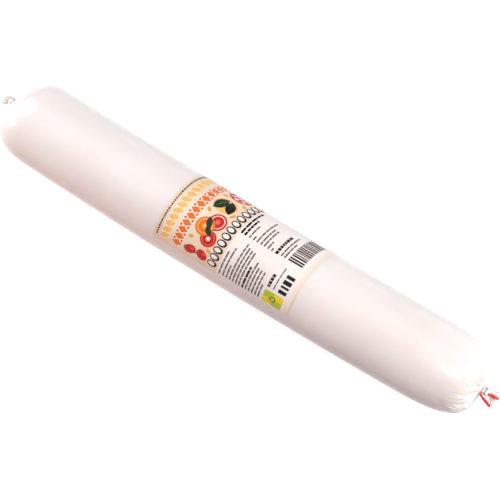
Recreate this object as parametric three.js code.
// A long roll of plant-based mozzarella in a white plastic film casing. At both ends
// the film is gathered in pleats to a short neck, closed by an aluminium clip, with a
// tuft of film past it. A paper label wraps the top of the roll. A red pull tape is
// held under the clip at the right end, and both of its ends stand out.
// Millimetres. The roll lies along X, rests on the plane Z = 0, and +Z is up.
//
// Every piece is drawn in roll coordinates and bent into place by rollPoint():
// axial runs along the roll from its middle, angle turns round the roll from -Y
// (0 degrees) over the top (90 degrees), and radius is the distance from its axis.

import * as THREE from 'three';

const DEG = Math.PI / 180;

// Filled body
const BODY_RADIUS = 29.4;        // at the middle of the roll
const SHOULDER_LOSS = 0.6;       // the radius is this much less at the ends
const HALF_LENGTH = 191.9;       // from the middle to the face of each end
const BOW = -3.0;                // the middle lies this far to the side of the ends
const REST_DEPTH = 0.7;          // the underside is pressed flat by this much
const LOW_SIDE = -26 * DEG;      // the side towards which the end faces lean

// Rounded ends. depth is how deep the dome is, face and shoulder how square it is
// there, lean how much its face leans, neckY and neckZ how far its neck sits off the
// axis, gather how far the film rises to the neck, clip where the clip starts and
// tuft the film past it. Distances along the roll are counted from the end's face.
const LEFT = {
  side: -1, depth: 26.1, face: 2.35, shoulder: 2.5, lean: 0.119, neckY: 2.3, neckZ: 1.15,
  gather: 1.5, clip: 1.9, clipTurn: 64 * DEG,
  tuft: { rings: [[6.5, 2.2], [7.5, 2.8], [8.8, 2.8], [10, 2.4], [10.9, 1.7]], flat: 0.5 },
};
const RIGHT = {
  side: 1, depth: 53.6, face: 3.24, shoulder: 3.96, lean: 0.018, neckY: -0.2, neckZ: -0.1,
  gather: 3.0, clip: 3.4, clipTurn: -26 * DEG,
  tuft: { rings: [[8.4, 1.7], [9.6, 2.5], [11, 3.3], [12.4, 3.9], [13.2, 4.1]], flat: 0.3 },
};
const NECK_FADE = [6, 22];       // the neck's offset is full inside, gone outside

// Gathered film
const NECK_RADIUS = 1.45;
const GATHER_RADIUS = 8;         // where the film starts to rise to the neck
const GATHER_POWER = 2.2;
const PLEAT_COUNT = 16;
const PLEAT_DEPTH = 0.7;
const PLEAT_PEAK = 8;            // radius where the pleats are deepest
const PLEAT_REACH = 25;          // radius where they have died out

// Tufts
const TUFT_FLARE = 3;            // length over which a tuft takes its flat section
const TUFT_DRIFT = 0.9;          // how far a tuft bends towards the low side
const TUFT_DIMPLE = 0.6;         // how far the middle of a tuft's end is drawn in
const TUFT_RIPPLE = 0.4;
const RIPPLE_PITCH = 2.2;        // radians of ripple for each mm of width

// Clips
const CLIP_LENGTH = 4;
const CLIP_HALF_WIDTH = 3.2;
const CLIP_HALF_HEIGHT = 3.05;
const CLIP_SQUARENESS = 2.5;
const CLIP_BORE = 2.1;
const CLIP_CLEFT = 0.35;         // depth of the cleft where the two legs meet
const CLEFT_SPREAD = 0.25;       // half-angle of the cleft
const CLIP_EDGE = 0.3;           // rounding of the clip's rims

// Label
const LABEL_LENGTH = 109.3;      // along the roll
const LABEL_CENTRE = 7.3;
const LABEL_ARC = [12.7 * DEG, 164 * DEG];
const LABEL_SKEW = 0.06;         // shift along the roll for each mm round it
const LABEL_CORNER = 3;
const LABEL_GAP = 0.2;
const LABEL_THICKNESS = 0.3;

// Pull tape: [distance past the end face, radius, angle, angle of its width, width]
const TAPE_THICKNESS = 0.2;
const TAPE_PATH = [
  [12.9, 8.1, 1, 150, 1.9], [9.6, 6.7, 1, 148, 2.1], [6.6, 5.4, 0, 143, 2.0],
  [4.2, 4.3, -1, 134, 1.8], [2.9, 3.5, -1, 120, 1.5], [2.6, 2.7, 2, 108, 1.3],
  [3.4, 1.82, 12, 104, 1.1], [5.4, 1.78, 30, 120, 1.1], [7.4, 1.8, 46, 136, 1.1],
  [8.8, 2.4, 54, 144, 1.5], [12.2, 2.9, 59, 150, 2.1], [15.6, 2.7, 61, 152, 1.7],
];

// Mesh fineness
const AROUND = 80;
const BODY_STEPS = 9;
const DOME_STEPS = 12;
const GATHER_STEPS = 5;
const LABEL_STEPS = [14, 28];
const TAPE_STEPS = 44;
const CLIP_POINTS = 32;

function smoothstep(value) {
  const t = THREE.MathUtils.clamp(value, 0, 1);
  return t * t * (3 - 2 * t);
}

function endAt(axial) {
  return axial < 0 ? LEFT : RIGHT;
}

function bodyRadius(axial) {
  return BODY_RADIUS - SHOULDER_LOSS * (axial / HALF_LENGTH) ** 2;
}

// The point of the bowed, leaning roll that a point of the straight one moves to
function rollPoint(axial, angle, radius) {
  const end = endAt(axial);
  const along = axial / HALF_LENGTH;
  const slope = -2 * BOW * along / HALF_LENGTH;
  const across = -radius * Math.cos(angle);
  const intoDome = smoothstep(1 - (HALF_LENGTH - Math.abs(axial)) / end.depth);
  const lean = end.side * end.lean * radius * Math.cos(angle - LOW_SIDE) * intoDome;
  const neck = intoDome * smoothstep((NECK_FADE[1] - radius) / (NECK_FADE[1] - NECK_FADE[0]));
  const x = axial - slope * across + lean;
  const y = BOW * (1 - along ** 2) + across + end.neckY * neck;
  const z = radius * Math.sin(angle) + end.neckZ * neck;
  return new THREE.Vector3(x, y, Math.max(z, REST_DEPTH - BODY_RADIUS));
}

// Moves every vertex of a geometry to place(x, y, z)
function remap(geometry, place) {
  const position = geometry.getAttribute('position');
  for (let i = 0; i < position.count; i += 1) {
    const point = place(position.getX(i), position.getY(i), position.getZ(i));
    position.setXYZ(i, point.x, point.y, point.z);
  }
  geometry.computeVertexNormals();
  return geometry;
}

// One ring of a dome as [height past the end face, radius], gather included, for a
// fraction of the full radius
function domeRing(end, fraction) {
  const behind = end.depth * (1 - (1 - fraction ** end.shoulder) ** (1 / end.face));
  const radius = fraction * bodyRadius(HALF_LENGTH - behind);
  const rise = Math.max(GATHER_RADIUS - radius, 0) / (GATHER_RADIUS - NECK_RADIUS);
  return [end.gather * rise ** GATHER_POWER - behind, radius];
}

// The rings of one end's dome, from the neck out to the full body
function domeProfile(end) {
  const full = bodyRadius(HALF_LENGTH);
  const fractions = [];
  for (let i = 0; i < GATHER_STEPS; i += 1) {
    const radius = NECK_RADIUS + (GATHER_RADIUS - NECK_RADIUS) * (i / GATHER_STEPS) ** 1.4;
    fractions.push(radius / full);
  }
  const first = Math.asin((GATHER_RADIUS / full) ** (end.shoulder / 2));
  for (let i = 0; i < DOME_STEPS; i += 1) {
    const turn = first + (Math.PI / 2 - first) * (i / DOME_STEPS);
    fractions.push(Math.sin(turn) ** (2 / end.shoulder));
  }
  return fractions.map((fraction) => domeRing(end, fraction));
}

// Profile of one end from the tuft's tip to the dome's root, as [height, radius]
function endProfile(end) {
  const rings = [...end.tuft.rings].reverse();
  const [tip, tipRadius] = rings[0];
  const neck = [[end.clip + CLIP_LENGTH, NECK_RADIUS], [end.clip, NECK_RADIUS]];
  const cap = [[tip - TUFT_DIMPLE, 0], [tip - TUFT_DIMPLE / 2, tipRadius / 2]];
  return [...cap, ...rings, ...neck, ...domeProfile(end)];
}

function bodyProfile() {
  const from = LEFT.depth - HALF_LENGTH;
  const to = HALF_LENGTH - RIGHT.depth;
  const points = [];
  for (let i = 0; i <= BODY_STEPS; i += 1) {
    const axial = from + (to - from) * (i / BODY_STEPS);
    points.push(new THREE.Vector2(bodyRadius(axial), axial));
  }
  return points;
}

// Relief of the pleats, rounded ridges with sharp valleys between them
function pleat(axial, angle, radius) {
  const end = endAt(axial);
  const spread = angle + 0.12 * Math.sin(3 * angle + end.side);
  const folds = 1 - 2 * Math.abs(Math.sin(PLEAT_COUNT * spread / 2));
  const rise = smoothstep((radius - NECK_RADIUS) / (PLEAT_PEAK - NECK_RADIUS));
  const fade = 1 - smoothstep((radius - PLEAT_PEAK) / (PLEAT_REACH - PLEAT_PEAK));
  return PLEAT_DEPTH * folds * rise * fade;
}

// A point of a tuft: its round section is flattened into a rippled fan that lies
// along the low side and drifts that way
function tuftPoint(end, axial, angle, radius) {
  const past = Math.abs(axial) - HALF_LENGTH - end.clip - CLIP_LENGTH;
  const flare = smoothstep(past / TUFT_FLARE);
  const wide = radius * Math.cos(angle - LOW_SIDE);
  const ripple = TUFT_RIPPLE * flare * Math.sin(RIPPLE_PITCH * wide);
  const flat = THREE.MathUtils.lerp(1, end.tuft.flat, flare);
  const thin = radius * Math.sin(angle - LOW_SIDE) * flat + ripple;
  const drifted = wide + TUFT_DRIFT * flare;
  return rollPoint(axial, LOW_SIDE + Math.atan2(thin, drifted), Math.hypot(drifted, thin));
}

function casingPoint(axial, angle, radius) {
  const past = Math.abs(axial) - HALF_LENGTH;
  const end = endAt(axial);
  if (past > end.clip + CLIP_LENGTH) {
    return tuftPoint(end, axial, angle, radius);
  }
  const onFace = past > -end.depth && past < end.clip;
  const relief = onFace ? pleat(axial, angle, radius) : 0;
  return rollPoint(axial + end.side * relief, angle, radius);
}

function casingGeometry() {
  const left = endProfile(LEFT).map(([h, r]) => new THREE.Vector2(r, -HALF_LENGTH - h));
  const right = endProfile(RIGHT).map(([h, r]) => new THREE.Vector2(r, HALF_LENGTH + h));
  const profile = [...left, ...bodyProfile(), ...right.reverse()];
  const lathe = new THREE.LatheGeometry(profile, AROUND);
  return remap(lathe, (x, y, z) => casingPoint(y, Math.atan2(z, x), Math.hypot(x, z)));
}

// Half the label's length at a distance round it from its middle, with round corners
function labelHalfLength(round, halfArc) {
  const into = Math.max(Math.abs(round) - (halfArc - LABEL_CORNER), 0);
  const cut = LABEL_CORNER - Math.sqrt(Math.max(LABEL_CORNER ** 2 - into ** 2, 0));
  return LABEL_LENGTH / 2 - cut;
}

function labelGeometry() {
  const halfArc = BODY_RADIUS * (LABEL_ARC[1] - LABEL_ARC[0]) / 2;
  const middle = (LABEL_ARC[0] + LABEL_ARC[1]) / 2;
  const sheet = new THREE.BoxGeometry(2, 2, LABEL_THICKNESS, ...LABEL_STEPS, 1);
  return remap(sheet, (x, y, z) => {
    const crowded = Math.sin(y * Math.PI / 2) * 0.5 + y * 0.5;
    const round = crowded * halfArc;
    const axial = LABEL_CENTRE + x * labelHalfLength(round, halfArc) + LABEL_SKEW * round;
    const lift = LABEL_GAP + LABEL_THICKNESS / 2 + z;
    return rollPoint(axial, middle + round / BODY_RADIUS, bodyRadius(axial) + lift);
  });
}

// Outline of a clip seen along the roll: a squared ring with a cleft where its legs meet
function clipOutline(halfWidth, halfHeight, cleft) {
  const outline = [];
  for (let i = 0; i < CLIP_POINTS; i += 1) {
    const angle = (i / CLIP_POINTS) * 2 * Math.PI;
    const c = Math.abs(Math.cos(angle) / halfWidth) ** CLIP_SQUARENESS;
    const s = Math.abs(Math.sin(angle) / halfHeight) ** CLIP_SQUARENESS;
    const reach = (c + s) ** (-1 / CLIP_SQUARENESS);
    const radius = reach - cleft * Math.exp(-(((angle - Math.PI) / CLEFT_SPREAD) ** 2));
    outline.push(new THREE.Vector2(radius * Math.cos(angle), radius * Math.sin(angle)));
  }
  return outline;
}

function clipGeometry(end) {
  const ring = new THREE.Shape(clipOutline(CLIP_HALF_WIDTH, CLIP_HALF_HEIGHT, CLIP_CLEFT));
  ring.holes.push(new THREE.Path(clipOutline(CLIP_BORE, CLIP_BORE, 0).reverse()));
  const band = new THREE.ExtrudeGeometry(ring, {
    depth: CLIP_LENGTH - 2 * CLIP_EDGE,
    bevelThickness: CLIP_EDGE,
    bevelSize: CLIP_EDGE,
    bevelOffset: -CLIP_EDGE,
    bevelSegments: 2,
  });
  return remap(band, (x, y, z) => {
    const axial = end.side * (HALF_LENGTH + end.clip + CLIP_EDGE + z);
    const angle = end.clipTurn - end.side * Math.atan2(y, x);
    return rollPoint(axial, angle, Math.hypot(x, y));
  });
}

// The tape is a flat ribbon swept along a smooth curve, with its width kept to the
// angle that each path point gives
function tapeGeometry() {
  const points = TAPE_PATH.map(([past, radius, angle]) => rollPoint(HALF_LENGTH + past, angle * DEG, radius));
  const curve = new THREE.CatmullRomCurve3(points);
  const along = (t, column) => {
    const place = t * (TAPE_PATH.length - 1);
    const i = Math.min(Math.floor(place), TAPE_PATH.length - 2);
    return THREE.MathUtils.lerp(TAPE_PATH[i][column], TAPE_PATH[i + 1][column], place - i);
  };
  const ribbon = new THREE.BoxGeometry(1, 1, TAPE_THICKNESS, TAPE_STEPS, 1, 1);
  return remap(ribbon, (x, y, z) => {
    const t = x + 0.5;
    const tangent = curve.getTangent(t);
    const facing = along(t, 3) * DEG;
    const width = new THREE.Vector3(0, -Math.cos(facing), Math.sin(facing));
    width.addScaledVector(tangent, -width.dot(tangent)).normalize();
    const normal = new THREE.Vector3().crossVectors(tangent, width);
    return curve.getPoint(t).addScaledVector(width, y * along(t, 4)).addScaledVector(normal, z);
  });
}

function piece(name, geometry, color, roughness, metalness = 0) {
  const material = new THREE.MeshStandardMaterial({ color, roughness, metalness });
  const mesh = new THREE.Mesh(geometry, material);
  mesh.name = name;
  return mesh;
}

const FILM_WHITE = 0xf7f1ee;
const LABEL_CREAM = 0xf6e3cf;
const CLIP_METAL = 0xc9c6c4;
const TAPE_RED = 0xf03c28;

const roll = new THREE.Group();
roll.add(piece('casing', casingGeometry(), FILM_WHITE, 0.35));
roll.add(piece('label', labelGeometry(), LABEL_CREAM, 0.6));
roll.add(piece('clip_left', clipGeometry(LEFT), CLIP_METAL, 0.35, 1));
roll.add(piece('clip_right', clipGeometry(RIGHT), CLIP_METAL, 0.35, 1));
roll.add(piece('pull_tape', tapeGeometry(), TAPE_RED, 0.5));

// The origin is the middle of the underside of the whole object's box
const box = new THREE.Box3().setFromObject(roll);
const middle = box.getCenter(new THREE.Vector3());
roll.position.set(-middle.x, -middle.y, -box.min.z);

export default roll;
